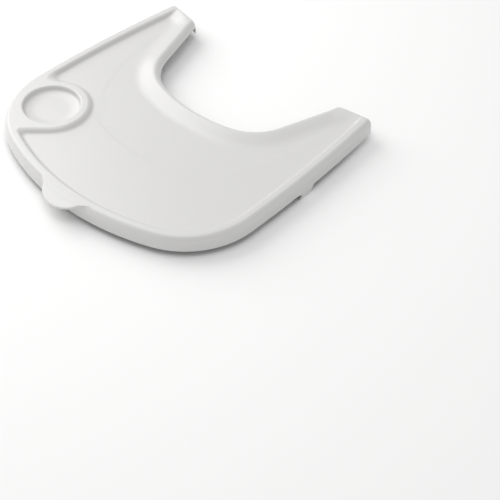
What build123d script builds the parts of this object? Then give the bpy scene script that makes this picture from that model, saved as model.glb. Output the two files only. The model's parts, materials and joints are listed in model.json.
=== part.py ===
"""High-chair tray with a squeeze-release latch, as an assembly of separate pieces.

Millimetres, +Z up. The child sits on the +Y side, in the belly cut-out; the cup ring is at the
front left (-X, -Y). Pieces are modelled about a working origin on the centre line, level with the
surface that the feet stand on, and moved at the end so that the shell's box is centred on X and Y.
"""

from build123d import *
import math
import os

# --- outline of the tray, seen from above ------------------------------------------------------
HALF_WIDTH = 220.0  # centre line to the widest point of the skirt
FRONT_Y = -230.0  # front of the skirt on the centre line
FRONT_R = 384.0  # long front curve
CORNER_R = 122.0  # front corners
SIDE_R = 2000.0  # sides, slightly bowed
ARM_BACK_Y = 179.0  # outer back corner of each arm
ARM_END_ANGLE = 9.2  # slant of the arm ends, degrees
ARM_CORNER_R = 8.0

# --- belly cut-out -----------------------------------------------------------------------------
BELLY_Y = 21.7  # front of the cut-out on the centre line
BELLY_R = 240.0  # its long front curve
BELLY_CORNER_R = 69.0
BELLY_CORNER_SIDE = 173.2  # centre of the corner curve, from the widest point of the skirt
BELLY_FLARE = 18.0  # how far the arms' inner sides open towards the back, degrees

# --- heights and walls -------------------------------------------------------------------------
SKIRT_Z = 9.0  # bottom of the skirt above the table
RIM_Z = 33.6  # top of the rim
FLOOR_Z = 25.0  # top of the serving floor
WALL = 2.8
RIM_W = 14.0  # rim, from the skirt's outside to the pocket
RIM_ROUND = 6.0
POCKET_CORNER_R = 6.0
POCKET_FLOOR_R = 2.5
SLOPE_TOP = 9.0  # belly slope: flat crest, measured from the cut-out's edge
SLOPE_FOOT = 26.0  # belly slope: where it reaches the floor

# --- cup ring and thumb lip --------------------------------------------------------------------
CUP_R = 43.7
CUP_RING_W = 11.0
CUP_EDGE = 7.54  # ring's outside to the skirt's outside, measured on a radius of the front corner
CUP_ANGLE = 26.02  # that radius, degrees forward of straight sideways
LIP_R = 41.0
LIP_REACH = 21.0  # how far the lip stands out from the skirt
LIP_T = 3.5
LIP_DROP = 5.1  # top of the lip below the top of the rim

# --- side hooks under the skirt ----------------------------------------------------------------
HOOK_FRONT = 4.0
HOOK_BACK = 39.5
HOOK_LENGTH = 26.0  # flat bottom of the hook
HOOK_THROAT = 5.5  # depth of the notch that opens to the front
HOOK_LIP = 2.6  # height of the barb under the notch

# --- chair-rail channels -----------------------------------------------------------------------
RAIL_W = 24.0
RAIL_FIT = 0.5  # on each side of the rail, between the guide wall and the notch's outer edge
SIDE_GAP = 2.2  # from the notch for the rail to the inside of the skirt, at the arm's end
NOTCH_DEPTH = 25.0  # along the rail, through the arm's end wall
GUIDE_T = 3.0
GUIDE_LEAD = 28.0  # front of the guide wall, in front of the latch
GUIDE_LENGTH = 170.0
GUIDE_Z = 6.0
STOP_GAP = 0.5  # from the front stop to the skirt
PAD_W = 13.0
PAD_T = 1.5
PAD_CLEAR = 1.0  # from the tip of the latch bolt to the pad
PAD_END = 4.0  # from the front stop and from the notch to the pad's ends

# --- release mechanism -------------------------------------------------------------------------
TRAVEL = 10.0  # paddle and latches alike, through 45 degree cam slots
LATCH_BACK = 53.7  # line of the latches, in front of the belly cut-out
FIT = 0.3  # gap between flat sliding faces
BORE_FIT = 0.1  # radial gap of a rod in its bore
PIN_X = 40.0
PIN_R = 2.5
ROD_R = 2.0
EYE_WALL = 2.5
EYE_T = 3.2
YOKE_T = 4.0
YOKE_MARGIN = 5.0
YOKE_GAP = 2.1  # behind the yoke, to the cover's back wall
STEM_W = 16.0
BOLT_W = 12.0
BOLT_H = 8.0
BOLT_LENGTH = 24.0
BOLT_REACH = 8.0  # how far the bolt stands into the rail channel
BOLT_RAMP = 3.5
BOLT_RISE = 0.2  # middle of the bolt above the rod's axis
SPRING_WIRE = 0.7
SPRING_FIT = 0.65  # between the rod and the coil
SPRING_PITCH = 3.5
SPRING_LENGTH = 35.0
RIB_T = 3.0
RIB_STEP = 2.0  # inner rib of the latch rod, outside the yoke's housing
COVER_T = 2.4
COVER_SETBACK = 50.0  # front of the cover, behind the front of the skirt
STEM_COVER_W = 60.0
YOKE_COVER_W = 120.0
YOKE_COVER_D = 62.0
COVER_CORNER_R = 5.0
STEM_RIB_T = 2.0
PADDLE_W = 64.0
PADDLE_T = 5.0
PADDLE_GAP = 6.2  # from the squeezed paddle to the inside of the skirt
PADDLE_Z = 2.0
PADDLE_BEAD_R = 3.0
TENON = 2.5
FOOT_R = 7.0
FOOT_X = 20.0
FOOT_BACK = 12.0  # behind the front of the cover

# --- screws ------------------------------------------------------------------------------------
SCREW_R = 1.5
SCREW_HEAD_R = 3.0
SCREW_HEAD_T = 1.8
SCREW_BITE = 9.0  # length in the boss
TAB_SCREW_BITE = 6.4
SCREW_CLEAR = 0.2
BOSS_WALL = 2.1
SCREW_IN = 8.0  # cover's screws, inside the edge of its stem and from its rod
SCREW_END = 12.0  # from the end of the part that a screw holds
FRONT_SCREW = 30.0  # behind the front of the cover
ARM_SCREW_STEP = 54.0  # between the two screws of each arm of the cover
TAB_W = 12.0
TAB_REACH = 10.0  # screw of a tab, from the guide's face
TAB_DROP = 8.4  # underside of a tab, under the floor
TAB_COUNT = 3

# --- levels worked out from the sizes above ----------------------------------------------------
CEILING = FLOOR_Z - WALL  # underside of the floor
LIP_Z = RIM_Z - LIP_DROP - LIP_T
YOKE_Z = CEILING - FIT - YOKE_T
ROD_Z = YOKE_Z - FIT - ROD_R
BOLT_Z = ROD_Z - BOLT_H / 2 + BOLT_RISE
COVER_IN_Z = BOLT_Z - FIT
COVER_Z = COVER_IN_Z - COVER_T
TAB_Z = CEILING - TAB_DROP

# --- places worked out from the sizes above ----------------------------------------------------
CORNER_X = HALF_WIDTH - CORNER_R  # centre of the right front corner, tangent inside the front curve
CORNER_Y = FRONT_Y + FRONT_R - math.sqrt((FRONT_R - CORNER_R) ** 2 - CORNER_X**2)
ARM_BACK_X = HALF_WIDTH - SIDE_R + math.sqrt(SIDE_R**2 - (ARM_BACK_Y - CORNER_Y) ** 2)
BELLY_CORNER_X = HALF_WIDTH - BELLY_CORNER_SIDE
CUP_FROM_CORNER = CORNER_R - CUP_EDGE - CUP_RING_W - CUP_R
CUP_X = -CORNER_X - CUP_FROM_CORNER * math.cos(math.radians(CUP_ANGLE))
CUP_Y = CORNER_Y - CUP_FROM_CORNER * math.sin(math.radians(CUP_ANGLE))
LATCH_Y = BELLY_Y - LATCH_BACK
NOTCH_END_X = ARM_BACK_X - WALL - SIDE_GAP
GUIDE_X = NOTCH_END_X - RAIL_W - 2 * RAIL_FIT  # face of the guide wall, which the rail runs along
GUIDE_FRONT = LATCH_Y - GUIDE_LEAD
GUIDE_BACK = GUIDE_FRONT + GUIDE_LENGTH
PAD_X = GUIDE_X + BOLT_REACH + PAD_CLEAR
PAD_FRONT = GUIDE_FRONT + PAD_END
PAD_BACK = ARM_BACK_Y - NOTCH_DEPTH - PAD_END
BOLT_BACK_X = GUIDE_X + BOLT_REACH - BOLT_LENGTH
SPRING_RIB_X = BOLT_BACK_X - SPRING_LENGTH - RIB_T / 2
INNER_RIB_X = YOKE_COVER_W / 2 + RIB_STEP
CROSS_COVER_D = 2 * (TRAVEL + PIN_R + YOKE_MARGIN + YOKE_GAP + COVER_T)
CROSS_END_X = GUIDE_X - GUIDE_T - FIT
COVER_BACK = LATCH_Y + CROSS_COVER_D / 2
COVER_FRONT = FRONT_Y + COVER_SETBACK
PADDLE_Y = FRONT_Y + WALL + PADDLE_GAP + TRAVEL  # front face at rest
FOOT_Y = COVER_FRONT + FOOT_BACK
EYE_R = PIN_R + EYE_WALL
SPRING_R = ROD_R + SPRING_FIT + SPRING_WIRE / 2
BOSS_R = SCREW_R + BOSS_WALL
TAB_X = GUIDE_X - TAB_REACH
TAB_FIRST, TAB_LAST = COVER_BACK + SCREW_END, GUIDE_BACK - SCREW_END
TAB_YS = [TAB_FIRST + i * (TAB_LAST - TAB_FIRST) / (TAB_COUNT - 1) for i in range(TAB_COUNT)]
STEM_SCREW_X = STEM_COVER_W / 2 - SCREW_IN
ARM_SCREW_X = BOLT_BACK_X - SCREW_END
ARM_SCREW_Y = LATCH_Y - BOLT_W / 2 - SCREW_IN
COVER_SCREWS = [  # right half
    (STEM_SCREW_X, COVER_FRONT + FRONT_SCREW),
    (STEM_SCREW_X, COVER_BACK - YOKE_COVER_D - SCREW_END),
    (ARM_SCREW_X - ARM_SCREW_STEP, ARM_SCREW_Y),
    (ARM_SCREW_X, ARM_SCREW_Y),
]
FAR = 3 * HALF_WIDTH  # longer than anything here, for cutting tools
SIDES = {"right": 1, "left": -1}


def arc(centre, start, end):
    """Arc about a centre, the short way from start to end."""
    middle = (start - centre).normalized() + (end - centre).normalized()
    return ThreePointArc(start, centre + middle.normalized() * (start - centre).length, end)


def mirrored(edges):
    """The edges of a right half, with their mirror images across the centre line."""
    return edges + [edge.mirror(Plane.YZ) for edge in edges]


def span(x, y, z):
    """Box between low and high corners, each axis given as (low, high)."""
    size = [high - low for low, high in (x, y, z)]
    return Pos(x[0], y[0], z[0]) * Box(*size, align=(Align.MIN, Align.MIN, Align.MIN))


def post(x, y, radius, low, high):
    """Upright cylinder."""
    return Pos(x, y, low) * Cylinder(radius, high - low, align=(Align.CENTER, Align.CENTER, Align.MIN))


def slab(face, low, high):
    """A flat face extruded from one level to another."""
    return extrude(Pos(0, 0, low) * face, high - low)


def side_x(y):
    """Outside of the skirt on the right side, behind the front corner."""
    return HALF_WIDTH - SIDE_R + math.sqrt(SIDE_R**2 - (y - CORNER_Y) ** 2)


def belly_corner_centre():
    """Centre of the cut-out's right corner, tangent inside its long front curve."""
    drop = math.sqrt((BELLY_R - BELLY_CORNER_R) ** 2 - BELLY_CORNER_X**2)
    return Vector(BELLY_CORNER_X, BELLY_Y + BELLY_R - drop)


def filled_outline():
    """The tray's outline, with the belly cut-out filled in."""
    front, corner = Vector(0, FRONT_Y + FRONT_R), Vector(CORNER_X, CORNER_Y)
    nose = Vector(0, FRONT_Y)
    bend = front + (corner - front).normalized() * FRONT_R
    widest = Vector(HALF_WIDTH, CORNER_Y)
    back = Vector(ARM_BACK_X, ARM_BACK_Y)
    middle = Vector(0, ARM_BACK_Y - back.X * math.tan(math.radians(ARM_END_ANGLE)))
    side = Vector(HALF_WIDTH - SIDE_R, CORNER_Y)
    half = [arc(front, nose, bend), arc(corner, bend, widest), arc(side, widest, back), Line(back, middle)]
    return make_face(mirrored(half))


def belly_region():
    """The space for the child's body, open past the arms' ends."""
    front, corner = Vector(0, BELLY_Y + BELLY_R), belly_corner_centre()
    nose = Vector(0, BELLY_Y)
    bend = front + (corner - front).normalized() * BELLY_R
    flare = math.radians(BELLY_FLARE)
    leave = corner + Vector(math.cos(flare), -math.sin(flare)) * BELLY_CORNER_R
    past = ARM_BACK_Y + 2 * SLOPE_FOOT
    open_end = leave + Vector(math.tan(flare), 1) * (past - leave.Y)
    curved = [arc(front, nose, bend), arc(corner, bend, leave)]
    straight = [Line(leave, open_end), Line(open_end, Vector(0, past))]
    return make_face(mirrored(curved + straight))


def lip_face():
    """Round thumb lip in plan, reaching back under the rim."""
    return Pos(0, FRONT_Y - LIP_REACH + LIP_R) * Circle(LIP_R)


def hook_profile():
    """Side view of a hook, Y and Z, with its notch open to the front."""
    tip = HOOK_BACK - HOOK_LENGTH - (SKIRT_Z - HOOK_LIP)
    throat = tip + HOOK_THROAT
    points = [
        (HOOK_FRONT, SKIRT_Z + WALL),
        (HOOK_FRONT, SKIRT_Z),
        (tip + 1.0, SKIRT_Z - 1.2),
        (throat, SKIRT_Z - 3.4),
        (throat, HOOK_LIP + 1.4),
        (tip, 0.8),
        (tip + 0.8, 0),
        (tip + HOOK_LENGTH, 0),
        (HOOK_BACK, SKIRT_Z),
        (HOOK_BACK, SKIRT_Z + WALL),
    ]
    return make_face(Polyline(points, close=True))


def tray_shell():
    """One moulding: rim, skirt, floor, cup ring, thumb lip, side hooks and screw bosses."""
    filled, belly = filled_outline(), belly_region()
    outline = filled - belly
    arm_ends = outline.vertices().sort_by(Axis.Y)[-4:]
    outline = fillet(arm_ends, ARM_CORNER_R)
    shell = slab(outline, SKIRT_Z, RIM_Z)
    shell = fillet(shell.edges().filter_by_position(Axis.Z, RIM_Z, RIM_Z), RIM_ROUND)

    lip = slab(lip_face(), LIP_Z, LIP_Z + LIP_T)
    lip = fillet(lip.edges().filter_by(GeomType.CIRCLE), LIP_T / 2 - 0.05)
    shell += lip

    # serving pocket: inside the rim, round the cup ring, and down the belly slope
    cup = Pos(CUP_X, CUP_Y)
    ring_r = CUP_R + CUP_RING_W
    pocket = offset(filled, -RIM_W, kind=Kind.INTERSECTION) - cup * Circle(ring_r)
    pocket = rounded(pocket, POCKET_CORNER_R)
    hill = slope_block(belly, SLOPE_FOOT, FLOOR_Z, RIM_Z)
    pocket = slab(pocket, FLOOR_Z, RIM_Z + 1) - hill
    recess = cup * post(0, 0, CUP_R, FLOOR_Z, RIM_Z + 1)
    recess = fillet(recess.edges().group_by(Axis.Z)[0], POCKET_FLOOR_R)
    shell -= pocket
    shell -= recess

    # hollow underside, one wall thick under the floor, the rim, the ring and the slope
    inside = offset(filled, -WALL, kind=Kind.INTERSECTION)
    rim_band = inside - offset(filled, WALL - RIM_W, kind=Kind.INTERSECTION)
    ring_band = (cup * Circle(ring_r - WALL)) & inside
    band = rim_band + ring_band - cup * Circle(CUP_R + WALL) - offset(belly, WALL, kind=Kind.INTERSECTION)
    shell -= slab(inside, -1, CEILING)
    shell -= slab(band, CEILING, RIM_Z - WALL)
    lean = (SLOPE_FOOT - SLOPE_TOP) / (RIM_Z - FLOOR_Z)
    drop = WALL * math.hypot(1, lean) / lean
    under_slope = slope_block(belly, SLOPE_FOOT, FLOOR_Z - drop, RIM_Z - WALL)
    under_slope -= slab(offset(belly, WALL, kind=Kind.INTERSECTION), 0, RIM_Z)
    shell -= under_slope & slab(inside, 0, RIM_Z)

    # side hooks, flush with the skirt
    skirt = slab(filled, -1, SKIRT_Z + WALL) - slab(inside, -2, SKIRT_Z + 2 * WALL)
    hook = extrude(Plane.YZ * hook_profile(), FAR / 2, both=True)
    shell += hook & skirt

    # bosses for the screws of the cover and of the guides
    for sign in SIDES.values():
        for x, y in COVER_SCREWS:
            shell += post(sign * x, y, BOSS_R, COVER_IN_Z, CEILING + WALL / 2)
            shell -= post(sign * x, y, SCREW_R, 0, COVER_IN_Z + SCREW_BITE)
        for y in TAB_YS:
            shell += post(sign * TAB_X, y, BOSS_R, TAB_Z + COVER_T, CEILING + WALL / 2)
            shell -= post(sign * TAB_X, y, SCREW_R, 0, TAB_Z + COVER_T + TAB_SCREW_BITE)
        # the chair's rail passes under the arm's end
        notch = across(sign, GUIDE_X, NOTCH_END_X)
        shell -= span(notch, (ARM_BACK_Y - NOTCH_DEPTH, FAR), (0, CEILING))
    return shell


def rounded(face, radius):
    """The face with its outward corners rounded."""
    inner = offset(face, -radius, kind=Kind.INTERSECTION)
    return offset(inner, radius, kind=Kind.ARC)


def across(sign, low, high):
    """A range of X on the right half, or its mirror image on the left."""
    return tuple(sorted((sign * low, sign * high)))


def slope_block(belly, foot, low, high):
    """Solid under the belly slope: the cut-out widened to its foot, leaning in as it rises."""
    lean = math.degrees(math.atan((SLOPE_FOOT - SLOPE_TOP) / (RIM_Z - FLOOR_Z)))
    face = offset(belly, foot, kind=Kind.INTERSECTION)
    return extrude(Pos(0, 0, low) * face, high - low, taper=lean)


def cover_plan():
    """Plan of the mechanism cover: stem, yoke housing and cross arm."""
    stem = Pos(0, (COVER_FRONT + COVER_BACK) / 2) * Rectangle(STEM_COVER_W, COVER_BACK - COVER_FRONT)
    yoke = Pos(0, COVER_BACK - YOKE_COVER_D / 2) * Rectangle(YOKE_COVER_W, YOKE_COVER_D)
    cross = Pos(0, COVER_BACK - CROSS_COVER_D / 2) * Rectangle(2 * CROSS_END_X, CROSS_COVER_D)
    plan = stem + yoke + cross
    return fillet(plan.vertices(), COVER_CORNER_R)


def mechanism_cover():
    """Shallow tub, open towards the floor, that carries the pull bar and both latch rods."""
    plan = cover_plan()
    cover = slab(plan, COVER_Z, CEILING) - slab(offset(plan, -COVER_T), COVER_IN_Z, CEILING + 1)
    cover = fillet(cover.edges().group_by(Axis.Z)[0], COVER_T / 2)
    inner_back, inner_front = COVER_BACK - COVER_T, COVER_BACK - CROSS_COVER_D + COVER_T
    rib_back = pull_bar_front() - TRAVEL - 1
    for sign in SIDES.values():
        # side rib of the pull bar's channel
        edge = STEM_W / 2 + FIT
        rib_x = across(sign, edge, edge + STEM_RIB_T)
        cover += span(rib_x, (COVER_FRONT + 1, rib_back), (COVER_Z + 1, CEILING))
        # ribs that carry the latch rod
        for x in (INNER_RIB_X, SPRING_RIB_X):
            rib_x = across(sign, x - RIB_T / 2, x + RIB_T / 2)
            cover += span(rib_x, (inner_front - 1, inner_back + 1), (COVER_Z + 1, CEILING))
        cover -= rod_shape(sign, INNER_RIB_X - RIB_T, SPRING_RIB_X + RIB_T, ROD_R + BORE_FIT)
        cover -= bolt_window(sign)
        for x, y in COVER_SCREWS:
            cover -= post(sign * x, y, SCREW_R + SCREW_CLEAR, 0, CEILING)
    # the pull bar rests on a rib and leaves through the front wall
    half = STEM_RIB_T / 2
    cover += span((-half, half), (COVER_FRONT + 1, rib_back), (COVER_Z + 1, YOKE_Z - FIT))
    mouth = STEM_W / 2 + FIT
    cover -= span((-mouth, mouth), (COVER_FRONT - 1, COVER_FRONT + COVER_T), (YOKE_Z - FIT, CEILING + 1))
    return cover


def pull_bar_front():
    """Front edge of the yoke at rest."""
    return LATCH_Y - PIN_R - YOKE_MARGIN


def rod_shape(sign, start, end, radius):
    """A length of round rod on the latch's line."""
    bar = Cylinder(radius, end - start, rotation=(0, 90, 0))
    return Pos(sign * (start + end) / 2, LATCH_Y, ROD_Z) * bar


def bolt_window(sign):
    """Cutting tool for the window that a latch bolt slides through."""
    reach = across(sign, CROSS_END_X - COVER_CORNER_R - COVER_T, GUIDE_X + 1)
    half = BOLT_W / 2 + FIT
    return span(reach, (LATCH_Y - half, LATCH_Y + half), (BOLT_Z - FIT, BOLT_Z + BOLT_H + FIT))


def pull_bar():
    """Flat bar from the paddle to a yoke with two 45 degree cam slots."""
    front, back = pull_bar_front(), LATCH_Y + TRAVEL + PIN_R + YOKE_MARGIN
    yoke = Pos(0, (front + back) / 2) * Rectangle(2 * (PIN_X + PIN_R + YOKE_MARGIN), back - front)
    tail = PADDLE_Y + TENON
    stem = Pos(0, (tail + back) / 2) * Rectangle(STEM_W, back - tail)
    plan = fillet(yoke.vertices(), YOKE_MARGIN) + stem
    for sign in SIDES.values():
        middle = Pos(sign * (PIN_X - TRAVEL / 2), LATCH_Y + TRAVEL / 2)
        slot = SlotCenterToCenter(TRAVEL * math.sqrt(2), 2 * (PIN_R + BORE_FIT))
        plan -= middle * Rot(0, 0, -45 * sign) * slot
    return slab(plan, YOKE_Z, YOKE_Z + YOKE_T)


def release_paddle():
    """Finger paddle behind the skirt, with a bead along its lower edge and a socket for the bar."""
    top = YOKE_Z + YOKE_T
    plan = Pos(0, PADDLE_Y + PADDLE_T / 2) * RectangleRounded(PADDLE_W, PADDLE_T, PADDLE_T / 2 - 0.1)
    paddle = slab(plan, PADDLE_Z, top)
    bead_y, bead_z = PADDLE_Y + PADDLE_T, PADDLE_Z + PADDLE_BEAD_R
    bead = Cylinder(PADDLE_BEAD_R, PADDLE_W - 2 * PADDLE_T, rotation=(0, 90, 0))
    paddle += Pos(0, bead_y, bead_z) * bead
    half = STEM_W / 2
    return paddle - span((-half, half), (PADDLE_Y + TENON, PADDLE_Y + PADDLE_T + 1), (YOKE_Z, top + 1))


def latch_rod(sign):
    """Round rod with an eye for the cam pin at its inner end."""
    rod = rod_shape(sign, PIN_X, BOLT_BACK_X + BOLT_LENGTH / 3, ROD_R)
    rod += post(sign * PIN_X, LATCH_Y, EYE_R, ROD_Z - EYE_T / 2, ROD_Z + EYE_T / 2)
    return rod - post(sign * PIN_X, LATCH_Y, PIN_R, 0, RIM_Z)


def cam_pin(sign):
    """Upright pin, pressed into the rod's eye, that rides in the yoke's slot."""
    return post(sign * PIN_X, LATCH_Y, PIN_R, ROD_Z - EYE_T / 2, YOKE_Z + YOKE_T)


def latch_bolt(sign):
    """Bolt with a ramped tip, bored for the rod."""
    back, tip, half = BOLT_BACK_X, BOLT_BACK_X + BOLT_LENGTH, BOLT_W / 2
    right = [(back, half), (tip - BOLT_RAMP, half), (tip, half - BOLT_RAMP)]
    outline = right + [(x, -y) for x, y in reversed(right)]
    plan = make_face(Polyline([(sign * x, LATCH_Y + y) for x, y in outline], close=True))
    bolt = slab(plan, BOLT_Z, BOLT_Z + BOLT_H)
    return bolt - rod_shape(sign, back - 1, back + BOLT_LENGTH / 3, ROD_R)


def return_spring(sign):
    """Compression spring on the rod, between the outer rib and the bolt."""
    start = SPRING_RIB_X + RIB_T / 2 + SPRING_WIRE / 2
    length = BOLT_BACK_X - SPRING_WIRE / 2 - start
    path = Helix(SPRING_PITCH, length, SPRING_R)
    wire = Plane(origin=path @ 0, z_dir=path % 0) * Circle(SPRING_WIRE / 2)
    coil = Rot(0, 90, 0) * sweep(wire, path=path)
    if sign < 0:
        coil = coil.mirror(Plane.YZ)
    return Pos(sign * start, LATCH_Y, ROD_Z) * coil


def rail_guide(sign):
    """Inner wall of a rail channel, with a front stop and three screw tabs."""
    inner = GUIDE_X - GUIDE_T
    guide = span(across(sign, inner, GUIDE_X), (GUIDE_FRONT, GUIDE_BACK), (GUIDE_Z, CEILING))
    stop_end = side_x(GUIDE_FRONT) - WALL - STOP_GAP
    guide += span(across(sign, inner, stop_end), (GUIDE_FRONT - GUIDE_T, GUIDE_FRONT), (GUIDE_Z, CEILING))
    for y in TAB_YS:
        reach = across(sign, TAB_X - TAB_W / 2, inner)
        guide += span(reach, (y - TAB_W / 2, y + TAB_W / 2), (TAB_Z, TAB_Z + COVER_T))
        guide -= post(sign * TAB_X, y, SCREW_R + SCREW_CLEAR, 0, CEILING)
    return guide - bolt_window(sign)


def rail_pad(sign):
    """Soft strip that the chair's rail bears on."""
    length = PAD_BACK - PAD_FRONT
    strip = RectangleRounded(PAD_W, length, PAD_W / 4)
    middle = Pos(sign * (PAD_X + PAD_W / 2), (PAD_FRONT + PAD_BACK) / 2)
    return slab(middle * strip, CEILING - PAD_T, CEILING)


def front_foot(sign):
    """Soft foot under the front of the cover."""
    foot = post(sign * FOOT_X, FOOT_Y, FOOT_R, 0, COVER_Z)
    return fillet(foot.edges().group_by(Axis.Z)[0], FOOT_R / 7)


def screw(x, y, seat, bite):
    """Pan-head screw driven upwards, with its head under the seat."""
    body = post(x, y, SCREW_R, seat, seat + COVER_T + bite)
    head = post(x, y, SCREW_HEAD_R, seat - SCREW_HEAD_T, seat)
    head = fillet(head.edges().group_by(Axis.Z)[0], SCREW_HEAD_T / 3)
    slot = Pos(x, y, seat - SCREW_HEAD_T) * (Box(3.2, 0.8, 1.6) + Box(0.8, 3.2, 1.6))
    return body + head - slot


def screws(places, seat, bite):
    """One screw at each place on the right half and its mirror image."""
    return Compound([screw(sign * x, y, seat, bite) for sign in SIDES.values() for x, y in places])


def pieces():
    """Every node of the assembly by name, in the working frame."""
    found = {
        "tray_shell": tray_shell(),
        "mechanism_cover": mechanism_cover(),
        "pull_bar": pull_bar(),
        "release_paddle": release_paddle(),
        "cover_screws": screws(COVER_SCREWS, COVER_Z, SCREW_BITE),
        "guide_screws": screws([(TAB_X, y) for y in TAB_YS], TAB_Z, TAB_SCREW_BITE),
    }
    makers = (latch_rod, cam_pin, latch_bolt, return_spring, rail_guide, rail_pad, front_foot)
    for side, sign in SIDES.items():
        for maker in makers:
            found[maker.__name__ + "_" + side] = maker(sign)
    return found


def main():
    """Centre the assembly on the shell's box and write one STEP file per node."""
    found = pieces()
    shift = -found["tray_shell"].bounding_box().center().Y
    print("row frame = working frame + Y", round(shift, 6))
    os.makedirs("parts", exist_ok=True)
    for name, piece in found.items():
        export_step(Pos(0, shift, 0) * piece, "parts/" + name + ".step")


if __name__ == "__main__":
    main()
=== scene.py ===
"""High-chair tray: its moulded shell, return springs and finishes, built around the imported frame.

Shapes are worked out in millimetres, +Z up, in the frame's own place and directions. The child sits
on the +Y side, in the belly cut-out, and the cup ring is at the front left (-X, -Y).
"""

import json
import logging
import math
from dataclasses import dataclass, field
from enum import Enum
from typing import Any, Callable, Iterable

import bpy
import numpy as np
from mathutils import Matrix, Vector

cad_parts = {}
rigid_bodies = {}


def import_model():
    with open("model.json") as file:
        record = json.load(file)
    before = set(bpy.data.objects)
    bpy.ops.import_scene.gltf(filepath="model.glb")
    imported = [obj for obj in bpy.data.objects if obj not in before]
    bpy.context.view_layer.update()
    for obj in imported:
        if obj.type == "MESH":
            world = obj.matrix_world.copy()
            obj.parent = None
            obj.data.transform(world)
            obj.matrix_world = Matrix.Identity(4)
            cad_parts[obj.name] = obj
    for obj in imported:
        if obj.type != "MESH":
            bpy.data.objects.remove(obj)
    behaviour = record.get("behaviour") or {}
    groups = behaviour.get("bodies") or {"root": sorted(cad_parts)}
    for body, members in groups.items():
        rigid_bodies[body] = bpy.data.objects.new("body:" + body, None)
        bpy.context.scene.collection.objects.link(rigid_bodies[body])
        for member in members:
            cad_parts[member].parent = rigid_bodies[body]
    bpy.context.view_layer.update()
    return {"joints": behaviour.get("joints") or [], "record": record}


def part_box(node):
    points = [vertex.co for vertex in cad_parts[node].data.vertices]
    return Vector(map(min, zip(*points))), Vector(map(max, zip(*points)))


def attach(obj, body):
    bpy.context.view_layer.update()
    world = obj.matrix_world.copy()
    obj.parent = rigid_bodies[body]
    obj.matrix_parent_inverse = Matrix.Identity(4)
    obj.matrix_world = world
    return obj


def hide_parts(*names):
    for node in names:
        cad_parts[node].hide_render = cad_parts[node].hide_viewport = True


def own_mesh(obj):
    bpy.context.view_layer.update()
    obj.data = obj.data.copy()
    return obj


log = logging.getLogger("tray")
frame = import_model()

MM = 0.001  # metres in a millimetre
SAME_PLACE = 1e-6  # metres within which two vertices are one
NO_SLOPE = 1e-6  # stands for a slope of nothing, where it divides
Array = np.ndarray
Field = Callable[[Array, Array, Array], Array]


# --- distances: negative inside, positive outside --------------------------------------------------
def rounded_max(a: Array, b: Array, radius: float | Array) -> Array:
    """Intersection of two shapes, with its outward edge rounded.

    Args:
        a: distance to the first shape.
        b: distance to the second shape.
        radius: of the edge, one number or one per point.

    Returns:
        Distance to what both shapes share.
    """
    inner = np.minimum(np.maximum(a, b), -radius)
    return inner + np.hypot(np.maximum(a + radius, 0), np.maximum(b + radius, 0))


def soft_min(a: Array, b: Array, reach: float) -> Array:
    """Union of two shapes, with the inward corner between them filled.

    Args:
        a: distance to the first shape.
        b: distance to the second shape.
        reach: how far from the corner the filling starts.

    Returns:
        Distance to the joined shape.
    """
    overlap = np.maximum(reach - np.abs(a - b), 0)
    return np.minimum(a, b) - overlap**2 / (4 * reach)


def smooth_step(low: float, high: float, x: Array) -> Array:
    """From 0 at low to 1 at high, without a kink at either end."""
    t = np.clip((x - low) / (high - low), 0, 1)
    return t * t * (3 - 2 * t)


def polygon_distance(points: list[tuple[float, float]], u: Array, v: Array) -> Array:
    """Distance to a closed polygon.

    Args:
        points: its corners in order.
        u: first coordinate of each place asked for.
        v: second coordinate of each place.

    Returns:
        Distance, negative inside the polygon.
    """
    nearest = np.full(np.broadcast(u, v).shape, np.inf)
    crossings = np.zeros(nearest.shape, bool)
    for (u0, v0), (u1, v1) in zip(points, points[1:] + points[:1]):
        du, dv = u1 - u0, v1 - v0
        along = np.clip(((u - u0) * du + (v - v0) * dv) / (du * du + dv * dv), 0, 1)
        nearest = np.minimum(nearest, np.hypot(u - u0 - along * du, v - v0 - along * dv))
        if dv:
            between = (v0 > v) != (v1 > v)
            crossings ^= between & (u < u0 + (v - v0) * du / dv)
    return np.where(crossings, -nearest, nearest)


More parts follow.
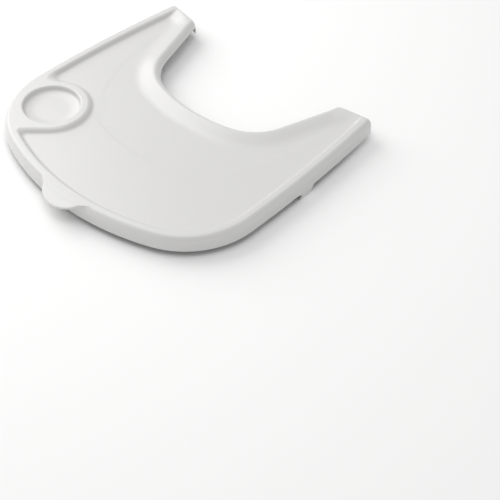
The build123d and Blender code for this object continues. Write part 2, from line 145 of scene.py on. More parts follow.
# --- meshes from distances -------------------------------------------------------------------------
@dataclass
class SurfaceNet:
    """Quad mesh of the surface where a distance field is zero, on a grid of any spacing.

    Args:
        field: the distance field, asked in millimetres.
        lines: grid lines along x, y and z.
    """

    field: Field
    lines: tuple[Array, Array, Array]
    passes: int = 5  # of evening out
    farthest: float = 1.0  # that one step may move a point
    shading_probe: float = 0.5  # how far each way the normals that are shown reach
    level: float = 0.99999  # how nearly upright the normal of a level place is
    thinned: float = 0.96  # share of the level faces that goes
    border: int = 2  # rings of faces round a level place that stay

    def normals(self, points: Array, probe: float = 0.05) -> tuple[Array, Array]:
        """Distance at each point, and the direction in which it grows.

        Args:
            points: one row per point.
            probe: how far each way the distance is asked again.

        Returns:
            Distances scaled to the field's local slope, and unit directions.
        """
        at = self.field(*points.T)
        slope = np.empty_like(points)
        for axis in range(3):
            ahead, behind = points.copy(), points.copy()
            ahead[:, axis] += probe
            behind[:, axis] -= probe
            slope[:, axis] = self.field(*ahead.T) - self.field(*behind.T)
        length = np.maximum(np.linalg.norm(slope, axis=1), NO_SLOPE)
        return at * 2 * probe / np.maximum(length, probe), slope / length[:, None]

    def settle(self, points: Array, times: int = 3) -> Array:
        """Move points onto the surface.

        Args:
            points: one row per point.
            times: how many steps they take.

        Returns:
            The moved points.
        """
        for _ in range(times):
            away, direction = self.normals(points)
            away = np.clip(away, -self.farthest, self.farthest)
            points = points - direction * away[:, None]
        return points

    def build(self) -> tuple[Array, Array]:
        """Net the surface: a point in each cell that it passes, a quad across each edge.

        Returns:
            Points, and the numbers of each quad's four.
        """
        xs, ys, zs = self.lines
        value = self.field(xs[:, None, None], ys[None, :, None], zs[None, None, :])
        value = np.broadcast_to(value, (len(xs), len(ys), len(zs)))
        inside = value < 0
        total = np.zeros([n - 1 for n in value.shape] + [3])
        count = np.zeros(total.shape[:3])
        quads = []
        for axis in range(3):
            low = np.take(value, range(value.shape[axis] - 1), axis)
            high = np.take(value, range(1, value.shape[axis]), axis)
            i, j, k = np.nonzero((low < 0) != (high < 0))
            share = low[i, j, k] / (low[i, j, k] - high[i, j, k])
            place = np.stack([xs[i], ys[j], zs[k]], 1)
            step = self.lines[axis][1:] - self.lines[axis][:-1]
            place[:, axis] += share * step[(i, j, k)[axis]]
            u, v = [a for a in range(3) if a != axis]
            corners = []
            for back_u, back_v in ((0, 0), (1, 0), (1, 1), (0, 1)):
                cell = [i.copy(), j.copy(), k.copy()]
                cell[u] -= back_u
                cell[v] -= back_v
                np.add.at(total, tuple(cell), place)
                np.add.at(count, tuple(cell), 1)
                corners.append(np.ravel_multi_index(cell, count.shape))
            quad = np.stack(corners, 1)
            turned = inside[i, j, k] == (axis == 1)
            quad[turned] = quad[turned][:, ::-1]
            quads.append(quad)
        used = np.flatnonzero(count.ravel())
        number = np.full(count.size, -1)
        number[used] = np.arange(len(used))
        points = total.reshape(-1, 3)[used] / count.ravel()[used][:, None]
        faces = number[np.concatenate(quads)]
        points = self.settle(points)
        for _ in range(self.passes):
            points = self.settle(self.relaxed(points, faces), times=2)
        return points, faces

    def object(self, name: str) -> bpy.types.Object:
        """Make a smooth mesh object of the surface, with large faces where it is level.

        Args:
            name: of the object.

        Returns:
            The object, with each vertex's normal square to the surface.
        """
        points, faces = self.build()
        piece = mesh_object(name, points, faces)
        free = np.abs(self.normals(points, self.shading_probe)[1][:, 2]) > self.level
        for _ in range(self.border):
            free[faces[~free[faces].all(1)].ravel()] = False
        group = piece.vertex_groups.new(name="level")
        group.add(np.flatnonzero(free).tolist(), 1.0, "REPLACE")
        thinner = piece.modifiers.new("thinner", "DECIMATE")
        thinner.vertex_group = group.name
        thinner.ratio = 1 - self.thinned * free.mean()
        settled = piece.evaluated_get(bpy.context.evaluated_depsgraph_get())
        mesh = bpy.data.meshes.new_from_object(settled)
        piece.modifiers.remove(thinner)
        piece.data, mesh.name = mesh, name
        piece.vertex_groups.clear()
        points = np.array([v.co for v in mesh.vertices]) / MM
        normals = self.normals(points, self.shading_probe)[1]
        mesh.normals_split_custom_set_from_vertices(normals.tolist())
        return piece

    @staticmethod
    def relaxed(points: Array, faces: Array) -> Array:
        """Even out a net.

        Args:
            points: one row per point.
            faces: the numbers of each quad's four.

        Returns:
            Each point moved half way to the middle of the points joined to it.
        """
        ends = np.concatenate([faces[:, [a, (a + 1) % 4]] for a in range(4)])
        ends = np.concatenate([ends, ends[:, ::-1]])
        total = np.zeros_like(points)
        np.add.at(total, ends[:, 0], points[ends[:, 1]])
        near = np.bincount(ends[:, 0], minlength=len(points))[:, None]
        return (points + total / near) / 2


def mesh_object(name: str, points: Array, faces: Iterable[Iterable[int]]) -> bpy.types.Object:
    """Make a smooth-shaded mesh object.

    Args:
        name: of the object and its mesh.
        points: vertices in millimetres.
        faces: vertex numbers of each face.

    Returns:
        The object, linked to the scene.
    """
    mesh = bpy.data.meshes.new(name)
    mesh.from_pydata((np.asarray(points) * MM).tolist(), [], [list(map(int, f)) for f in faces])
    mesh.polygons.foreach_set("use_smooth", [True] * len(mesh.polygons))
    piece = bpy.data.objects.new(name, mesh)
    bpy.context.collection.objects.link(piece)
    return piece


def solids(node: str) -> list[tuple[Array, Array]]:
    """Find the box of each separate solid in a CAD node, in millimetres.

    Args:
        node: name of the node.

    Returns:
        Lowest and highest corner of each solid.
    """
    mesh = bpy.data.objects[node].data
    home = list(range(len(mesh.vertices)))

    def root(i: int) -> int:
        """The vertex that stands for this one's solid."""
        while home[i] != i:
            home[i] = home[home[i]]
            i = home[i]
        return i

    places: dict[tuple[int, ...], int] = {}
    for vertex in mesh.vertices:
        key = tuple(round(c / SAME_PLACE) for c in vertex.co)
        home[root(vertex.index)] = root(places.setdefault(key, vertex.index))
    for edge in mesh.edges:
        home[root(edge.vertices[0])] = root(edge.vertices[1])
    groups: dict[int, list[Vector]] = {}
    for vertex in mesh.vertices:
        groups.setdefault(root(vertex.index), []).append(vertex.co)
    corners = [np.array([list(v) for v in group]) / MM for group in groups.values()]
    return [(c.min(0), c.max(0)) for c in corners]


# --- the shell -------------------------------------------------------------------------------------
@dataclass
class TrayShell:
    """The white moulding: rim, serving floor, cup ring, belly slope, thumb lip, skirt and hooks.

    Sizes are in millimetres, and angles in degrees.
    """

    box: tuple[Vector, Vector] = field(default_factory=lambda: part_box("tray_shell"))
    # outline
    front_r: float = 384.0
    corner_r: float = 122.0
    side_r: float = 2000.0
    arm_end_angle: float = 9.2
    arm_corner_r: float = 8.0
    corner_loss: float = 1.21  # from the arm's rounded corner back to the corner it replaces
    # belly cut-out
    belly_from_back: float = 157.3
    belly_r: float = 240.0
    belly_corner_r: float = 69.0
    belly_corner_side: float = 173.2
    belly_flare: float = 18.0
    # heights and walls
    skirt_z: float = 9.0
    skirt_edge: float = 1.3
    floor_drop: float = 8.6
    wall: float = 2.8
    rim_wall_more: float = 0.5  # extra thickness above the ceiling of the hollow
    hollow_edge: float = 1.2
    hollow_blend: float = 1.2
    # rim
    rim_w: float = 19.3
    rim_slope: float = 0.42  # level run of the rim's inner wall for each unit of its height
    rim_round: float = 7.6
    belly_round: float = 12.0
    belly_near: float = 12.0  # the belly edge's sizes replace the rim's over this, each way
    rim_fall: float = 0.66  # breadth of the rim's outer rounding for each unit of its height
    edge_round: float = 2.5
    belly_edge_round: float = 6.0
    floor_fillet: float = 2.2
    # slopes up to the belly cut-out and to the arms' ends
    slope_foot: float = 34.5
    slope_rise: float = 0.54
    slope_blend: float = 7.5
    end_foot: float = 27.0
    end_rise: float = 0.44
    slope_meet: float = 9.0
    # cup ring
    cup_r: float = 43.7
    ring_w: float = 11.0
    ring_edge: float = 7.54
    ring_angle: float = 26.02
    ring_round: float = 3.8
    ring_near: tuple[float, float] = (4.0, 30.0)  # where its rounding gives way to the rim's
    ring_flare: float = 4.6
    ring_depth: float = 1.5  # how far down it flares, in depths of the floor
    dish_in: float = 3.9
    dish_draft: float = 0.2
    dish_edge: float = 2.3
    dish_fillet: float = 2.6
    bowl_w: float = 17.0
    bowl_rise: float = 1.7
    bowl_end: float = 1.3  # how far out it rises, in widths of the rise
    cusp_round: float = 22.0  # of the floor's corner between the ring and the rim
    cusp_near: float = 20.0  # how soon it replaces the straight edge's
    web_angle: float = 43.8  # of the straight edge where the ring runs into the front rim
    web_round: float = 8.0
    # thumb lip
    lip_r: float = 41.0
    lip_reach: float = 21.0
    lip_t: float = 3.5
    lip_edge: float = 0.46  # rounding, as a share of its thickness
    lip_drop: float = 5.1
    lip_tilt: float = 0.2
    lip_blend: float = 9.0
    # underside
    boss_r: float = 3.6
    boss_blend: float = 1.6
    boss_above_head: float = 4.2
    rail_notch: float = 25.0
    notch_gap: float = 2.2
    cut_edge: float = 0.6
    # side hooks
    hook_front: float = 17.7  # in front of the belly cut-out
    hook_root: float = 35.5  # length where it meets the skirt
    hook_flat: float = 26.0  # length of its bottom, with the bevel
    hook_lean: float = 2.6  # its back end runs this much less than it rises
    hook_throat: float = 5.5  # depth of the notch that opens to the front
    throat_z: tuple[float, float] = (4.0, 5.6)  # bottom and top of the notch at its end
    barb: tuple[float, float] = (1.0, 7.8)  # the notch's upper corner, behind the tip and up
    hook_bevel: float = 0.8
    hook_blend: float = 0.8
    # grid lines
    step: float = 1.8
    foot_step: float = 1.17
    foot_rows: int = 12
    skirt_rows: int = 5
    top_step: float = 0.88
    top_rows: tuple[int, int] = (5, 12)  # below and above the floor
    margin: tuple[float, float] = (1.5, 2.0)  # before and behind the box, in steps

    def __post_init__(self) -> None:
        """Work out the places that follow from the sizes."""
        low, high = (np.array(corner) / MM for corner in self.box)
        self.half_width, self.rim_z = high[0], high[2]
        self.front_y = low[1] + self.lip_reach
        self.arm_back_y = high[1] + self.corner_loss
        self.belly_y = self.arm_back_y - self.belly_from_back
        self.floor_z = self.rim_z - self.floor_drop
        self.ceiling = self.floor_z - self.wall
        self.corner_x = self.half_width - self.corner_r
        middle_y = self.front_y + self.front_r
        self.front_middle_y = middle_y
        drop = math.sqrt((self.front_r - self.corner_r) ** 2 - self.corner_x**2)
        self.corner_y = middle_y - drop
        turn = math.radians(self.ring_angle)
        reach = self.corner_r - self.ring_edge - self.ring_w - self.cup_r
        self.cup_x = -self.corner_x - reach * math.cos(turn)
        self.cup_y = self.corner_y - reach * math.sin(turn)
        self.ring_r = self.cup_r + self.ring_w
        self.arm_back_x = self.side_x(self.arm_back_y)
        self.bosses = [
            ((lo[0] + hi[0]) / 2, (lo[1] + hi[1]) / 2, lo[2] + self.boss_above_head)
            for node in ("cover_screws", "guide_screws")
            for lo, hi in solids(node)
        ]

    def side_x(self, y: float) -> float:
        """Outside of the skirt at the right, behind the front corner."""
        reach = math.sqrt(self.side_r**2 - (y - self.corner_y) ** 2)
        return self.half_width - self.side_r + reach

    def side_distance(self, x: Array, y: Array) -> Array:
        """Distance to the outline in plan, front and sides only.

        Args:
            x: across the tray.
            y: along the tray.

        Returns:
            Distance, negative inside.
        """
        x = np.abs(x)
        front = np.hypot(x, y - self.front_middle_y) - self.front_r
        corner = np.hypot(x - self.corner_x, y - self.corner_y) - self.corner_r
        side = np.hypot(x - (self.half_width - self.side_r), y - self.corner_y) - self.side_r
        lean = (self.front_middle_y - self.corner_y) / self.corner_x
        ahead = y < self.corner_y
        before_bend = self.front_middle_y - y > lean * x
        return np.where(ahead, np.where(before_bend, front, corner), side)

    def back_distance(self, x: Array, y: Array) -> Array:
        """Distance to the slanted lines that end the arms.

        Args:
            x: across the tray.
            y: along the tray.

        Returns:
            Distance, positive behind the arms.
        """
        turn = math.radians(self.arm_end_angle)
        end = self.arm_back_y - (self.arm_back_x - np.abs(x)) * math.tan(turn)
        return (y - end) * math.cos(turn)

    def belly_distance(self, x: Array, y: Array) -> Array:
        """Distance to the space for the child's body.

        Args:
            x: across the tray.
            y: along the tray.

        Returns:
            Distance, negative inside that space.
        """
        x = np.abs(x)
        corner_x = self.half_width - self.belly_corner_side
        middle_y = self.belly_y + self.belly_r
        drop = math.sqrt((self.belly_r - self.belly_corner_r) ** 2 - corner_x**2)
        corner_y = middle_y - drop
        flare = math.radians(self.belly_flare)
        out = (math.cos(flare), -math.sin(flare))
        front = np.hypot(x, y - middle_y) - self.belly_r
        corner = np.hypot(x - corner_x, y - corner_y) - self.belly_corner_r
        straight = (x - corner_x) * out[0] + (y - corner_y) * out[1] - self.belly_corner_r
        before_bend = (middle_y - y) * corner_x > drop * x
        past_corner = (y - corner_y) * out[0] > (x - corner_x) * out[1]
        return np.where(before_bend, front, np.where(past_corner, straight, corner))

    def hook_points(self) -> list[tuple[float, float]]:
        """Side view of a hook, with its notch open to the front.

        Returns:
            Corners, Y and Z.
        """
        front, rise = self.belly_y - self.hook_front, self.skirt_z
        back = front + self.hook_root
        tip = back - self.hook_flat - (rise - self.hook_lean)
        throat = tip + self.hook_throat
        return [
            (front, rise + self.wall),
            (front, rise),
            (tip + self.barb[0], self.barb[1]),
            (throat, self.throat_z[1]),
            (throat, self.throat_z[0]),
            (tip, self.hook_bevel),
            (tip + self.hook_bevel, 0.0),
            (tip + self.hook_flat, 0.0),
            (back, rise),
            (back, rise + self.wall),
        ]

    def envelope(self, x: Array, y: Array, z: Array) -> Array:
        """Distance to the moulding with its underside filled in down to any depth.

        Args:
            x: across the tray.
            y: along the tray.
            z: up.

        Returns:
            Distance, negative inside.
        """
        side, back = self.side_distance(x, y), self.back_distance(x, y)
        belly = self.belly_distance(x, y)
        outline = rounded_max(side, back, self.arm_corner_r)
        plan = rounded_max(outline, -belly, self.arm_corner_r)
        nearer = smooth_step(
            -self.belly_near, self.belly_near, -np.maximum(side, back) - belly
        )
        edge = self.rim_round + (self.belly_round - self.rim_round) * nearer
        body = rounded_max(plan, (z - self.rim_z) * self.rim_fall, edge)

        tip = self.front_y - self.lip_reach
        lip_y = tip + self.lip_r
        lip_z = self.rim_z - self.lip_drop - self.lip_t / 2 + self.lip_tilt * (y - tip)
        thick = np.abs(z - lip_z) - self.lip_t / 2
        lip = rounded_max(np.hypot(x, y - lip_y) - self.lip_r, thick, self.lip_t * self.lip_edge)
        body = np.maximum(soft_min(body, lip, self.lip_blend), z - self.rim_z)

        from_cup = np.hypot(x - self.cup_x, y - self.cup_y)
        depth = np.clip((self.rim_z - z) / self.floor_drop, 0, self.ring_depth)
        turn = math.radians(self.web_angle)
        toward = -(x - self.cup_x) * math.cos(turn) - (y - self.cup_y) * math.sin(turn)
        below = (x - self.cup_x) * math.sin(turn) - (y - self.cup_y) * math.cos(turn)
        beside_web = (toward > 0) & (below > 0)
        from_ring = np.where(beside_web, below, from_cup) - self.ring_r - self.ring_flare * depth
        sharper = smooth_step(0, self.cusp_near, -below)
        cusp = self.web_round + (self.cusp_round - self.web_round) * sharper
        rim = side + self.rim_w - (z - self.floor_z) * self.rim_slope
        pocket = rounded_max(rim, -from_ring, cusp)
        at_belly = self.ramp(self.slope_foot - belly, self.slope_rise)
        at_end = self.ramp(self.end_foot + back, self.end_rise)
        rise = -soft_min(-at_belly, -at_end, self.slope_meet)
        pocket = rounded_max(pocket, self.floor_z + rise - z, self.floor_fillet)
        near_ring = 1 - smooth_step(*self.ring_near, from_cup - self.ring_r)
        edge = self.edge_round + (self.belly_edge_round - self.edge_round) * nearer
        edge = edge + (self.ring_round - edge) * near_ring
        body = rounded_max(body, -pocket, edge)

        foot = self.cup_r - self.dish_in
        up = np.clip((from_cup - foot) / self.bowl_w + 1, 0, self.bowl_end)
        bowl = self.floor_z + self.bowl_rise * up * up - z
        dish = rounded_max(from_cup - foot + bowl * self.dish_draft, bowl, self.dish_fillet)
        return rounded_max(body, -dish, self.dish_edge)

    def ramp(self, up: Array, rise: float) -> Array:
        """Height above the floor of a slope that starts softly.

        Args:
            up: how far up the slope, level, negative before its foot.
            rise: height for each unit of its length.

        Returns:
            Height, 0 before the slope.
        """
        from_start = up + self.slope_blend
        bend = np.clip(from_start, 0, 2 * self.slope_blend) ** 2 / (4 * self.slope_blend)
        return rise * (bend + np.maximum(from_start - 2 * self.slope_blend, 0))

    def distance(self, x: Array, y: Array, z: Array) -> Array:
        """Distance to the whole moulding.

        Args:
            x: across the tray.
            y: along the tray.
            z: up.

        Returns:
            Distance, negative inside.
        """
        outer = self.envelope(x, y, z)
        side, back = self.side_distance(x, y), self.back_distance(x, y)
        skirt = np.maximum(side, back)
        under = np.maximum(skirt + self.wall, z - self.ceiling)
        hollow = soft_min(outer + self.wall + self.rim_wall_more, under, self.hollow_blend)
        for boss_x, boss_y, low in self.bosses:
            post = np.hypot(x - boss_x, y - boss_y) - self.boss_r
            hollow = -soft_min(-hollow, np.maximum(post, low - z), self.boss_blend)
        solid = rounded_max(outer, -hollow, self.hollow_edge)
        solid = rounded_max(solid, self.skirt_z - z, self.skirt_edge)

        band = np.abs(side + self.wall / 2) - self.wall / 2
        profile = polygon_distance(self.hook_points(), y, z)
        hook = rounded_max(band, profile, self.cut_edge)
        solid = soft_min(solid, hook, self.hook_blend)

        notch_end = self.arm_back_x - self.wall - self.notch_gap
        across = np.abs(np.abs(x) - notch_end + self.rail_notch / 2) - self.rail_notch / 2
        notch = np.maximum(across, self.arm_back_y - self.rail_notch - y)
        notch = np.maximum(notch, z - self.ceiling)
        return rounded_max(solid, -notch, self.cut_edge)

    def grid(self) -> tuple[Array, Array, Array]:
        """Grid lines, closer together in height where the small fillets are.

        Returns:
            Lines along x, y and z.
        """
        low, high = (np.array(corner) / MM for corner in self.box)
        before, behind = (self.step * steps for steps in self.margin)
        across, along = (
            np.arange(low[a] - before, high[a] + behind, self.step) for a in (0, 1)
        )
        foot = low[2] + self.foot_step * (np.arange(self.foot_rows) - 0.5)
        below, above = self.top_rows
        top = self.floor_z + self.top_step * (np.arange(-below, above) + 0.5)
        skirt = np.linspace(foot[-1], top[0], self.skirt_rows + 2)[1:-1]
        return across, along, np.concatenate([foot, skirt, top])

    def build(self) -> bpy.types.Object:
        """Put the shell's mesh in place of its CAD node.

        Returns:
            The finished piece.
        """
        piece = SurfaceNet(self.distance, self.grid()).object("tray_moulding")
        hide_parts("tray_shell")
        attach(piece, "tray")
        log.info("tray_moulding: %d faces", len(piece.data.polygons))
        return piece


# --- the springs -----------------------------------------------------------------------------------
@dataclass
class ReturnSpring:
    """Compression spring on a latch rod, with closed ends."""

    side: str
    wire: float = 0.7  # millimetres, as the pitch
    pitch: float = 3.5
    closed_turns: float = 1.0  # at each end
    per_turn: int = 28  # points on one turn
    around: int = 10  # points round the wire

    def coil(self) -> tuple[Array, Array]:
        """Wind the coil.

        Returns:
            Places along the wire's middle, and the place on the coil's axis beside each.
        """
        low, high = (np.array(corner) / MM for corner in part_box(f"return_spring_{self.side}"))
        radius = (high[1] - low[1] - self.wire) / 2
        length = high[0] - low[0] - self.wire
        open_turns = (length - 2 * self.closed_turns * self.wire) / self.pitch
        turns = open_turns + 2 * self.closed_turns
        t = np.linspace(0, turns, int(turns * self.per_turn))
        lead = np.minimum(t, self.closed_turns) * self.wire
        body = np.clip(t - self.closed_turns, 0, open_turns) * self.pitch
        tail = np.maximum(t - self.closed_turns - open_turns, 0) * self.wire
        x = low[0] + self.wire / 2 + lead + body + tail
        middle_y, middle_z = (low[1] + high[1]) / 2, (low[2] + high[2]) / 2
        turn = 2 * math.pi * t
        line = np.stack([x, middle_y + radius * np.cos(turn), middle_z + radius * np.sin(turn)], 1)
        axis = np.stack([x, np.full_like(x, middle_y), np.full_like(x, middle_z)], 1)
        return line, axis

    def build(self) -> bpy.types.Object:
        """Put the spring's mesh in place of its CAD node.

        Returns:
            The coil.
        """
        line, axis = self.coil()
        ahead = np.gradient(line, axis=0)
        ahead /= np.linalg.norm(ahead, axis=1)[:, None]
        out = line - axis
        out /= np.linalg.norm(out, axis=1)[:, None]
        up = np.cross(ahead, out)
        turn = np.linspace(0, 2 * math.pi, self.around, endpoint=False)
        ring = out[:, None] * np.cos(turn)[None, :, None] + up[:, None] * np.sin(turn)[None, :, None]
        points = (line[:, None] + ring * self.wire / 2).reshape(-1, 3)
        rows, n = len(line), self.around
        faces = [
            (r * n + a, r * n + (a + 1) % n, (r + 1) * n + (a + 1) % n, (r + 1) * n + a)
            for r in range(rows - 1)
            for a in range(n)
        ]
        faces += [tuple(range(n))[::-1], tuple(range((rows - 1) * n, rows * n))]
        piece = mesh_object(f"spring_coil_{self.side}", points, faces)
        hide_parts(f"return_spring_{self.side}")
        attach(piece, "tray")
        return piece

    def follow_latch(self, piece: bpy.types.Object) -> None:
        """Log the share of its length the finished coil keeps with its latch drawn in, and give it
        its own mesh.

        Args:
            piece: the coil.
        """
        low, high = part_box(f"return_spring_{self.side}")
        joint = next(j for j in frame["joints"] if j["name"] == f"latch_{self.side}_slide")
        travel = max(abs(end) for end in joint["range_m"])
        keep = 1 - travel / (high.x - low.x)
        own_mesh(piece)
        log.info("%s: keeps %.2f of its length", piece.name, keep)


# --- node trees ------------------------------------------------------------------------------------
class Socket:
    """An output of a node tree that takes part in arithmetic."""

    def __init__(self, tree: "Tree", link: Any) -> None:
        """Hold one output of a tree."""
        self.tree, self.link = tree, link

    def _math(self, operation: str, *values: Any) -> "Socket":
        """A Math node on these values."""
        return self.tree.node("ShaderNodeMath", {"operation": operation}, list(values))

    def __add__(self, other: Any) -> "Socket":
        """Sum."""
        return self._math("ADD", self, other)

    def __radd__(self, other: Any) -> "Socket":
        """Sum with a number on the left."""
        return self._math("ADD", other, self)

    def __mul__(self, other: Any) -> "Socket":
        """Product."""
        return self._math("MULTIPLY", self, other)

    def __rmul__(self, other: Any) -> "Socket":
        """Product with a number on the left."""
        return self._math("MULTIPLY", other, self)


class Tree:
    """A material's node tree, filled by expressions."""

    def __init__(self, name: str) -> None:
        """Start a material of this name."""
        self.material = bpy.data.materials.new(name)
        self.material.use_nodes = True
        self.nodes, self.links = self.material.node_tree.nodes, self.material.node_tree.links
        self.shader = self.nodes["Principled BSDF"]

    def node(
        self,
        kind: str,
        settings: dict[str, Any] | None = None,
        inputs: Any = (),
        out: int | str = 0,
    ) -> Socket:
        """Add any node.

        Args:
            kind: the node's type.
            settings: attributes that are set first.
            inputs: values or sockets, in order or by name.
            out: output that is wanted.

        Returns:
            That output.
        """
        made = self.nodes.new(kind)
        for key, value in (settings or {}).items():
            setattr(made, key, value)
        pairs = inputs.items() if isinstance(inputs, dict) else enumerate(inputs)
        for key, value in pairs:
            self.feed(made.inputs[key], value)
        return Socket(self, made.outputs[out])

    def feed(self, target: bpy.types.NodeSocket, value: Any) -> None:
        """Link a socket to an input, or set the input's own value.

        Args:
            target: the input.
            value: a socket, or a value of the input's kind.
        """
        if isinstance(value, Socket):
            self.links.new(value.link, target)
        else:
            target.default_value = value

    def place(self) -> Socket:
        """Place on the object, in metres."""
        return self.node("ShaderNodeTexCoord", out="Object")

    def noise(self, scale: float, detail: float, roughness: float = 0.5) -> Socket:
        """Cloudy noise from 0 to 1, its scale in waves per metre."""
        inputs = {"Vector": self.place(), "Scale": scale, "Detail": detail, "Roughness": roughness}
        return self.node("ShaderNodeTexNoise", inputs=inputs)

    def blend(self, factor: Any, first: Any, second: Any) -> Socket:
        """Mix of two colours."""
        settings = {"data_type": "RGBA", "clamp_factor": True}
        return self.node("ShaderNodeMix", settings, {0: factor, 6: first, 7: second}, out=2)

    def bump(self, height: Socket, distance: float, strength: float) -> None:
        """Raise the surface by a height map, its depth in metres."""
        inputs = {"Height": height, "Distance": distance, "Strength": strength}
        self.feed(self.shader.inputs["Normal"], self.node("ShaderNodeBump", inputs=inputs))

    def set(self, **values: Any) -> None:
        """Set the shader's own sockets, with underscores for spaces."""
        for key, value in values.items():
            self.feed(self.shader.inputs[key.replace("_", " ")], value)


Colour = tuple[float, float, float, float]


def grey(level: float, warmth: float = 0.0) -> Colour:
    """A grey of this linear level, yellower as warmth grows."""
    return (level, level * (1 - 0.4 * warmth), level * (1 - warmth), 1.0)


# --- finishes --------------------------------------------------------------------------------------
@dataclass(frozen=True)
class MouldedPlastic:
    """Injection-moulded plastic: faint flow clouds in its colour, and a fine-grained skin."""

    name: str
    colour: Colour
    cloud: Colour
    roughness: float
    grain_scale: float  # waves per metre
    grain_depth: float  # metres
    gloss: float = 0.5
    coat: float = 0.0
    coat_roughness: float = 0.24
    ior: float = 1.49
    grain_strength: float = 0.35
    cloud_scale: float = 14.0
    smear_scale: float = 55.0
    smear_range: tuple[float, float] = (0.82, 1.18)  # of the roughness

    def make(self) -> bpy.types.Material:
        """Build the material.

        Returns:
            The finished material.
        """
        tree = Tree(self.name)
        clouds = tree.noise(self.cloud_scale, detail=3.0)
        tree.set(Base_Color=tree.blend(clouds, self.colour, self.cloud))
        least, most = self.smear_range
        smears = tree.noise(self.smear_scale, detail=4.0, roughness=0.6)
        tree.set(Roughness=self.roughness * (least + (most - least) * smears))
        tree.set(IOR=self.ior, Specular_IOR_Level=self.gloss)
        tree.set(Coat_Weight=self.coat, Coat_Roughness=self.coat_roughness)
        grain = tree.noise(self.grain_scale, detail=2.0)
        tree.bump(grain, self.grain_depth, self.grain_strength)
        return tree.material


@dataclass(frozen=True)
class SoftRubber:
    """Soft elastomer with a dry, slightly dusty skin."""

    name: str
    colour: Colour
    dust: Colour
    gloss: float = 0.35
    least_rough: float = 0.62
    rougher: float = 0.2  # where the dust lies
    dust_scale: float = 60.0
    grain_scale: float = 1800.0
    grain_depth: float = 0.00005
    grain_strength: float = 0.5

    def make(self) -> bpy.types.Material:
        """Build the material.

        Returns:
            The finished material.
        """
        tree = Tree(self.name)
        patches = tree.noise(self.dust_scale, detail=5.0, roughness=0.65)
        tree.set(Base_Color=tree.blend(patches, self.colour, self.dust))
        roughness = self.least_rough + self.rougher * patches
        tree.set(Roughness=roughness, Specular_IOR_Level=self.gloss)
        grain = tree.noise(self.grain_scale, detail=2.0)
        tree.bump(grain, self.grain_depth, self.grain_strength)
        return tree.material


class Drawn(Enum):
    """Direction of the fine lines on a metal, as stretches of the noise along X, Y and Z."""

    ALONG_X = (12.0, 900.0, 900.0)
    NONE = (300.0, 300.0, 300.0)


@dataclass(frozen=True)
class BrightSteel:
    """Steel with drawing lines or a fine tumbled skin."""

    name: str
    colour: Colour
    shade: Colour
    roughness: float
    lines: Drawn
    rough_range: tuple[float, float] = (0.7, 1.3)  # of the roughness
    line_depth: float = 0.00002
    line_strength: float = 0.3

    def make(self) -> bpy.types.Material:
        """Build the material.

        Returns:
            The finished material.
        """
        tree = Tree(self.name)
        inputs = {"Vector": tree.place(), "Scale": self.lines.value}
        stretched = tree.node("ShaderNodeMapping", inputs=inputs)
        inputs = {"Vector": stretched, "Scale": 1.0, "Detail": 3.0}
        lines = tree.node("ShaderNodeTexNoise", inputs=inputs)
        tree.set(Base_Color=tree.blend(lines, self.colour, self.shade), Metallic=1.0)
        least, most = self.rough_range
        tree.set(Roughness=self.roughness * (least + (most - least) * lines))
        tree.bump(lines, self.line_depth, self.line_strength)
        return tree.material


class Finish(Enum):
    """Every finish on the tray, by its material slot."""

    WHITE_SHELL = MouldedPlastic(
        name="white_shell",
        colour=grey(0.69, 0.012),
        cloud=grey(0.67, 0.018),
        roughness=0.32,
        grain_scale=2600.0,
        grain_depth=0.000006,
        gloss=0.4,
        coat=0.5,
    )
    WHITE_COVER = MouldedPlastic(
        name="white_cover",
        colour=grey(0.74, 0.015),
        cloud=grey(0.70, 0.02),
        roughness=0.46,
        grain_scale=1500.0,
        grain_depth=0.00006,
    )
    PADDLE = MouldedPlastic(
        name="paddle_plastic",
        colour=grey(0.36),
        cloud=grey(0.33),
        roughness=0.42,
        grain_scale=1400.0,
        grain_depth=0.00007,
    )
    ACETAL = MouldedPlastic(
        name="acetal",
        colour=grey(0.78, 0.06),
        cloud=grey(0.74, 0.08),
        roughness=0.34,
        grain_scale=1800.0,
        grain_depth=0.00003,
    )
    SOFT_PAD = SoftRubber("soft_pad", grey(0.24), grey(0.30))
    ROD_STEEL = BrightSteel("rod_steel", grey(0.58), grey(0.50), 0.22, Drawn.ALONG_X)
    SPRING_STEEL = BrightSteel("spring_steel", grey(0.50), grey(0.42), 0.28, Drawn.NONE)
    SCREW_STEEL = BrightSteel("screw_steel", grey(0.62), grey(0.54), 0.30, Drawn.NONE)


class Wardrobe:
    """Makes each finish once and dresses pieces in it."""

    def __init__(self) -> None:
        """Make every finish."""
        self.made = {finish.value.name: finish.value.make() for finish in Finish}

    def dress(self, piece: bpy.types.Object, slot: str) -> None:
        """Give a piece its finish.

        Args:
            piece: the object to dress.
            slot: material slot that names the finish.
        """
        if not piece.data.materials:
            piece.data.materials.append(None)
        for material_slot in piece.material_slots:
            material_slot.link = "OBJECT"
            material_slot.material = self.made[slot]

    def dress_cad(self) -> None:
        """Give every CAD node the finish of its slot in the record."""
        for part in frame["record"]["subparts"]:
            self.dress(bpy.data.objects[part["node"]], part["material_slot"])
            log.info("%s: %s", part["node"], part["material_slot"])


# --- studio ----------------------------------------------------------------------------------------
@dataclass(frozen=True)
class Lamp:
    """A soft square lamp that faces the object, its sizes in metres."""

    name: str
    place: tuple[float, float, float]
    size: float
    power: float  # watts
    colour: tuple[float, float, float]

    def hang(self) -> None:
        """Add the lamp to the scene."""
        data = bpy.data.lights.new(self.name, "AREA")
        data.size, data.energy, data.color = self.size, self.power, self.colour
        lamp = bpy.data.objects.new(self.name, data)
        lamp.location = self.place
        lamp.rotation_euler = (-Vector(self.place)).to_track_quat("-Z", "Y").to_euler()
        bpy.context.collection.objects.link(lamp)


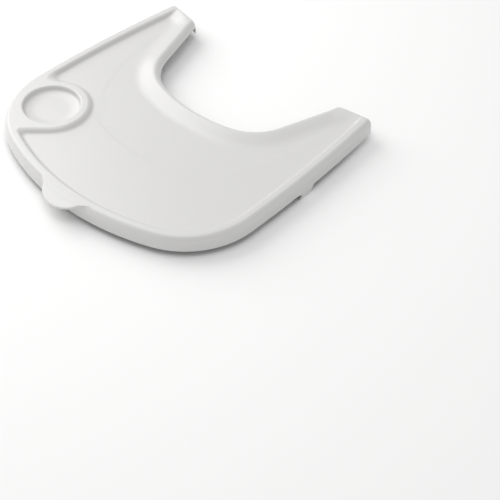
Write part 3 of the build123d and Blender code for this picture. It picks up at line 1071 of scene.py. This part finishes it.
@dataclass
class Studio:
    """Pale floor, soft lamps and the camera."""

    floor_half: float = 6.0  # metres
    floor_white: float = 0.95
    floor_roughness: float = 0.9
    floor_gloss: float = 0.1
    surround: float = 0.54  # strength of the light from all round
    key: Lamp = Lamp("key", (-1.75, -0.05, 1.35), size=2.1, power=35.0, colour=(1.0, 0.998, 0.99))
    top: Lamp = Lamp("top", (0.3, -0.35, 2.3), size=1.3, power=12.0, colour=(1.0, 1.0, 0.995))
    camera_place: tuple[float, float, float] = (1.20689, -1.08726, 1.39764)  # metres
    camera_back: tuple[float, float, float] = (0.49039585, -0.51219614, 0.70510072)  # direction
    lens: float = 107.98  # millimetres, as the sensor's width
    sensor: float = 36.0
    far_clip: float = 50.0  # metres

    def floor(self) -> None:
        """Lay a plain pale floor."""
        half = self.floor_half / MM
        corners = [(-half, -half, 0), (half, -half, 0), (half, half, 0), (-half, half, 0)]
        plane = mesh_object("studio_floor", np.array(corners), [(0, 1, 2, 3)])
        tree = Tree("studio_floor")
        tree.set(Base_Color=grey(self.floor_white), Roughness=self.floor_roughness)
        tree.set(Specular_IOR_Level=self.floor_gloss)
        plane.data.materials.append(tree.material)

    def light(self) -> None:
        """Light it: a key from the left, a weak lamp above, and an even white surround."""
        self.key.hang()
        self.top.hang()
        world = bpy.data.worlds.new("surround")
        world.use_nodes = True
        background = world.node_tree.nodes["Background"]
        background.inputs["Color"].default_value = grey(1.0)
        background.inputs["Strength"].default_value = self.surround
        bpy.context.scene.world = world
        bpy.context.scene.view_settings.view_transform = "Standard"

    def camera(self) -> None:
        """Set up the camera, level, looking down at the tray from its front right."""
        data = bpy.data.cameras.new("camera")
        data.lens, data.sensor_width, data.clip_end = self.lens, self.sensor, self.far_clip
        camera = bpy.data.objects.new("camera", data)
        camera.location = self.camera_place
        camera.rotation_euler = Vector(self.camera_back).to_track_quat("Z", "Y").to_euler()
        bpy.context.collection.objects.link(camera)
        bpy.context.scene.camera = camera


def main() -> None:
    """Build every piece, dress it and set up the studio."""
    logging.basicConfig(level=logging.INFO, format="%(message)s")
    wardrobe = Wardrobe()
    wardrobe.dress_cad()
    wardrobe.dress(TrayShell().build(), "white_shell")
    for side in ("right", "left"):
        spring = ReturnSpring(side)
        coil = spring.build()
        wardrobe.dress(coil, "spring_steel")
        spring.follow_latch(coil)
    studio = Studio()
    studio.floor()
    studio.light()
    studio.camera()


if __name__ == "__main__":
    main()
